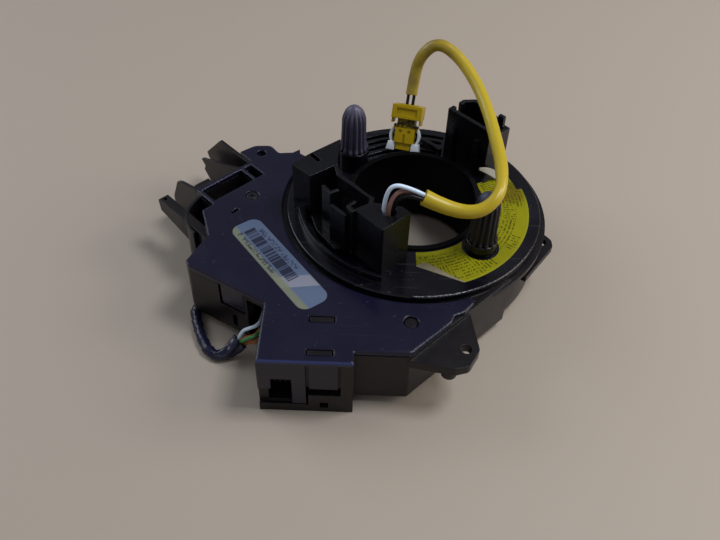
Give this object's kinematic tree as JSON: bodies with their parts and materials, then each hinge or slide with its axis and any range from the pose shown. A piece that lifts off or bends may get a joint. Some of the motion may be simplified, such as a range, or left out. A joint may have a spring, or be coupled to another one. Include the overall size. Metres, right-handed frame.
{
  "type": "steering clock spring",
  "caption": "Steering clock spring in black plastic: turning reel with fluted drive pins, connector towers and a yellow sleeved lead, on a housing with a switch socket block and taped harness.",
  "frame": {"origin": "axis of the column bore, level with the top of the reel's rim", "axes": "+Z along the bore towards the steering wheel, +Y to the back and +X to the right, with the front socket facing -Y"},
  "size_m": [0.1733, 0.1451, 0.082],
  "materials": {
    "housing_plastic": "satin",
    "cover_plastic": "satin",
    "reel_plastic": "semi-gloss",
    "tower_plastic": "satin",
    "pin_plastic": "satin",
    "yellow_plastic": "satin",
    "white_plastic": "satin",
    "yellow_sleeve": "satin",
    "wire_white": "satin",
    "wire_brown": "satin",
    "wire_black": "satin",
    "wire_green": "satin",
    "wire_orange": "satin",
    "tape": "semi-gloss",
    "label_paper": "satin",
    "sticker_film": "satin",
    "ribbon_film": "gloss",
    "contact_metal": "satin",
    "screw_steel": "satin",
    "board_plastic": "satin"
  },
  "bodies": {
    "housing": {"top_cover": "cover_plastic", "drum_housing": "housing_plastic", "base_ring": "housing_plastic", "circuit_carrier": "board_plastic", "front_socket_insert": "housing_plastic", "front_socket_contacts": "contact_metal", "column_switch_contacts": "contact_metal", "cover_screw": "screw_steel", "ribbon_cable": "ribbon_film", "ribbon_outer_terminal": "board_plastic", "bar_code_label": "label_paper", "harness_tape": "tape", "harness_wire_white": "wire_white", "harness_wire_green": "wire_green", "harness_wire_orange": "wire_orange", "harness_wire_brown": "wire_brown"},
    "reel": {"hub_sleeve": "reel_plastic", "retaining_ring": "reel_plastic", "reel_disc": "reel_plastic", "pin_boss_right": "reel_plastic", "pin_boss_left": "reel_plastic", "drive_pin_right": "pin_plastic", "drive_pin_left": "pin_plastic", "terminal_housing": "tower_plastic", "pocket_contacts": "contact_metal", "wheel_switch_shroud": "tower_plastic", "wheel_switch_contacts": "contact_metal", "reel_sticker": "sticker_film", "ribbon_inner_terminal": "board_plastic", "plug_body": "yellow_plastic", "plug_clips": "white_plastic", "plug_wires": "wire_black", "lead_sleeve": "yellow_sleeve", "lead_wire_white": "wire_white", "lead_wire_brown": "wire_brown", "lead_wire_black": "wire_black"},
    "lock": {"plug_lock": "yellow_plastic"}
  },
  "joints": [
    {"name": "reel_turn", "type": "hinge", "parent": "housing", "child": "reel", "pos_m": [0, 0, 0], "axis": [0, 0, 1], "range_deg": [-900, 900]},
    {"name": "plug_lock_slide", "type": "slide", "parent": "reel", "child": "lock", "axis": [-0.105, -0.4902, -0.8653], "range_m": [0, 0.002]}
  ]
}
